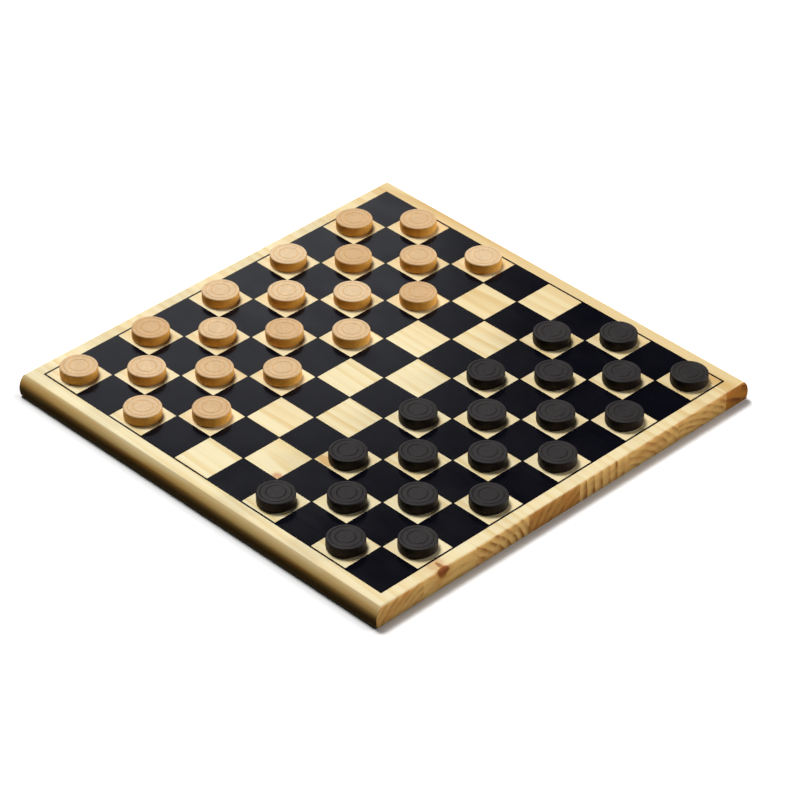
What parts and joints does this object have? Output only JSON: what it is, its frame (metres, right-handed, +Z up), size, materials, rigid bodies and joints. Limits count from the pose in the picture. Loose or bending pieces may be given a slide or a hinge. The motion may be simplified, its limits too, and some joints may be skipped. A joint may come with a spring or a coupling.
{
  "type": "draughts board",
  "caption": "Flat pine draughts board with round long edges and a black printed chequered field, set up with light and dark turned wooden men that lift off their squares.",
  "frame": {"origin": "on the table plane under the middle of the board", "axes": "+X across the staves, +Y along the grain from the dark men's side to the light men's side, +Z up"},
  "size_m": [0.4034, 0.3944, 0.028],
  "materials": {
    "pine": "planed and sanded pine, clear satin lacquer",
    "black_print": "satin black screen-print ink",
    "dark_stained_wood": "turned beech, black stain under satin lacquer",
    "light_wood": "turned beech, clear satin lacquer"
  },
  "bodies": {
    "board": {"pine_stave_01": "pine", "pine_stave_02": "pine", "pine_stave_03": "pine", "pine_stave_04": "pine", "pine_stave_05": "pine", "pine_stave_06": "pine", "pine_stave_07": "pine", "pine_stave_08": "pine", "printed_field": "black_print"},
    "dark_man_01": {"dark_man_01": "dark_stained_wood"},
    "dark_man_02": {"dark_man_02": "dark_stained_wood"},
    "dark_man_03": {"dark_man_03": "dark_stained_wood"},
    "dark_man_04": {"dark_man_04": "dark_stained_wood"},
    "dark_man_05": {"dark_man_05": "dark_stained_wood"},
    "dark_man_06": {"dark_man_06": "dark_stained_wood"},
    "dark_man_07": {"dark_man_07": "dark_stained_wood"},
    "dark_man_08": {"dark_man_08": "dark_stained_wood"},
    "dark_man_09": {"dark_man_09": "dark_stained_wood"},
    "dark_man_10": {"dark_man_10": "dark_stained_wood"},
    "dark_man_11": {"dark_man_11": "dark_stained_wood"},
    "dark_man_12": {"dark_man_12": "dark_stained_wood"},
    "dark_man_13": {"dark_man_13": "dark_stained_wood"},
    "dark_man_14": {"dark_man_14": "dark_stained_wood"},
    "dark_man_15": {"dark_man_15": "dark_stained_wood"},
    "dark_man_16": {"dark_man_16": "dark_stained_wood"},
    "dark_man_17": {"dark_man_17": "dark_stained_wood"},
    "dark_man_18": {"dark_man_18": "dark_stained_wood"},
    "dark_man_19": {"dark_man_19": "dark_stained_wood"},
    "dark_man_20": {"dark_man_20": "dark_stained_wood"},
    "light_man_01": {"light_man_01": "light_wood"},
    "light_man_02": {"light_man_02": "light_wood"},
    "light_man_03": {"light_man_03": "light_wood"},
    "light_man_04": {"light_man_04": "light_wood"},
    "light_man_05": {"light_man_05": "light_wood"},
    "light_man_06": {"light_man_06": "light_wood"},
    "light_man_07": {"light_man_07": "light_wood"},
    "light_man_08": {"light_man_08": "light_wood"},
    "light_man_09": {"light_man_09": "light_wood"},
    "light_man_10": {"light_man_10": "light_wood"},
    "light_man_11": {"light_man_11": "light_wood"},
    "light_man_12": {"light_man_12": "light_wood"},
    "light_man_13": {"light_man_13": "light_wood"},
    "light_man_14": {"light_man_14": "light_wood"},
    "light_man_15": {"light_man_15": "light_wood"},
    "light_man_16": {"light_man_16": "light_wood"},
    "light_man_17": {"light_man_17": "light_wood"},
    "light_man_18": {"light_man_18": "light_wood"},
    "light_man_19": {"light_man_19": "light_wood"},
    "light_man_20": {"light_man_20": "light_wood"}
  },
  "joints": [
    {"name": "dark_man_01_lift", "type": "slide", "parent": "board", "child": "dark_man_01", "axis": [0, 0, 1], "range_m": [0, 0.04]},
    {"name": "dark_man_02_lift", "type": "slide", "parent": "board", "child": "dark_man_02", "axis": [0, 0, 1], "range_m": [0, 0.04]},
    {"name": "dark_man_03_lift", "type": "slide", "parent": "board", "child": "dark_man_03", "axis": [0, 0, 1], "range_m": [0, 0.04]},
    {"name": "dark_man_04_lift", "type": "slide", "parent": "board", "child": "dark_man_04", "axis": [0, 0, 1], "range_m": [0, 0.04]},
    {"name": "dark_man_05_lift", "type": "slide", "parent": "board", "child": "dark_man_05", "axis": [0, 0, 1], "range_m": [0, 0.04]},
    {"name": "dark_man_06_lift", "type": "slide", "parent": "board", "child": "dark_man_06", "axis": [0, 0, 1], "range_m": [0, 0.04]},
    {"name": "dark_man_07_lift", "type": "slide", "parent": "board", "child": "dark_man_07", "axis": [0, 0, 1], "range_m": [0, 0.04]},
    {"name": "dark_man_08_lift", "type": "slide", "parent": "board", "child": "dark_man_08", "axis": [0, 0, 1], "range_m": [0, 0.04]},
    {"name": "dark_man_09_lift", "type": "slide", "parent": "board", "child": "dark_man_09", "axis": [0, 0, 1], "range_m": [0, 0.04]},
    {"name": "dark_man_10_lift", "type": "slide", "parent": "board", "child": "dark_man_10", "axis": [0, 0, 1], "range_m": [0, 0.04]},
    {"name": "dark_man_11_lift", "type": "slide", "parent": "board", "child": "dark_man_11", "axis": [0, 0, 1], "range_m": [0, 0.04]},
    {"name": "dark_man_12_lift", "type": "slide", "parent": "board", "child": "dark_man_12", "axis": [0, 0, 1], "range_m": [0, 0.04]},
    {"name": "dark_man_13_lift", "type": "slide", "parent": "board", "child": "dark_man_13", "axis": [0, 0, 1], "range_m": [0, 0.04]},
    {"name": "dark_man_14_lift", "type": "slide", "parent": "board", "child": "dark_man_14", "axis": [0, 0, 1], "range_m": [0, 0.04]},
    {"name": "dark_man_15_lift", "type": "slide", "parent": "board", "child": "dark_man_15", "axis": [0, 0, 1], "range_m": [0, 0.04]},
    {"name": "dark_man_16_lift", "type": "slide", "parent": "board", "child": "dark_man_16", "axis": [0, 0, 1], "range_m": [0, 0.04]},
    {"name": "dark_man_17_lift", "type": "slide", "parent": "board", "child": "dark_man_17", "axis": [0, 0, 1], "range_m": [0, 0.04]},
    {"name": "dark_man_18_lift", "type": "slide", "parent": "board", "child": "dark_man_18", "axis": [0, 0, 1], "range_m": [0, 0.04]},
    {"name": "dark_man_19_lift", "type": "slide", "parent": "board", "child": "dark_man_19", "axis": [0, 0, 1], "range_m": [0, 0.04]},
    {"name": "dark_man_20_lift", "type": "slide", "parent": "board", "child": "dark_man_20", "axis": [0, 0, 1], "range_m": [0, 0.04]},
    {"name": "light_man_01_lift", "type": "slide", "parent": "board", "child": "light_man_01", "axis": [0, 0, 1], "range_m": [0, 0.04]},
    {"name": "light_man_02_lift", "type": "slide", "parent": "board", "child": "light_man_02", "axis": [0, 0, 1], "range_m": [0, 0.04]},
    {"name": "light_man_03_lift", "type": "slide", "parent": "board", "child": "light_man_03", "axis": [0, 0, 1], "range_m": [0, 0.04]},
    {"name": "light_man_04_lift", "type": "slide", "parent": "board", "child": "light_man_04", "axis": [0, 0, 1], "range_m": [0, 0.04]},
    {"name": "light_man_05_lift", "type": "slide", "parent": "board", "child": "light_man_05", "axis": [0, 0, 1], "range_m": [0, 0.04]},
    {"name": "light_man_06_lift", "type": "slide", "parent": "board", "child": "light_man_06", "axis": [0, 0, 1], "range_m": [0, 0.04]},
    {"name": "light_man_07_lift", "type": "slide", "parent": "board", "child": "light_man_07", "axis": [0, 0, 1], "range_m": [0, 0.04]},
    {"name": "light_man_08_lift", "type": "slide", "parent": "board", "child": "light_man_08", "axis": [0, 0, 1], "range_m": [0, 0.04]},
    {"name": "light_man_09_lift", "type": "slide", "parent": "board", "child": "light_man_09", "axis": [0, 0, 1], "range_m": [0, 0.04]},
    {"name": "light_man_10_lift", "type": "slide", "parent": "board", "child": "light_man_10", "axis": [0, 0, 1], "range_m": [0, 0.04]},
    {"name": "light_man_11_lift", "type": "slide", "parent": "board", "child": "light_man_11", "axis": [0, 0, 1], "range_m": [0, 0.04]},
    {"name": "light_man_12_lift", "type": "slide", "parent": "board", "child": "light_man_12", "axis": [0, 0, 1], "range_m": [0, 0.04]},
    {"name": "light_man_13_lift", "type": "slide", "parent": "board", "child": "light_man_13", "axis": [0, 0, 1], "range_m": [0, 0.04]},
    {"name": "light_man_14_lift", "type": "slide", "parent": "board", "child": "light_man_14", "axis": [0, 0, 1], "range_m": [0, 0.04]},
    {"name": "light_man_15_lift", "type": "slide", "parent": "board", "child": "light_man_15", "axis": [0, 0, 1], "range_m": [0, 0.04]},
    {"name": "light_man_16_lift", "type": "slide", "parent": "board", "child": "light_man_16", "axis": [0, 0, 1], "range_m": [0, 0.04]},
    {"name": "light_man_17_lift", "type": "slide", "parent": "board", "child": "light_man_17", "axis": [0, 0, 1], "range_m": [0, 0.04]},
    {"name": "light_man_18_lift", "type": "slide", "parent": "board", "child": "light_man_18", "axis": [0, 0, 1], "range_m": [0, 0.04]},
    {"name": "light_man_19_lift", "type": "slide", "parent": "board", "child": "light_man_19", "axis": [0, 0, 1], "range_m": [0, 0.04]},
    {"name": "light_man_20_lift", "type": "slide", "parent": "board", "child": "light_man_20", "axis": [0, 0, 1], "range_m": [0, 0.04]}
  ]
}
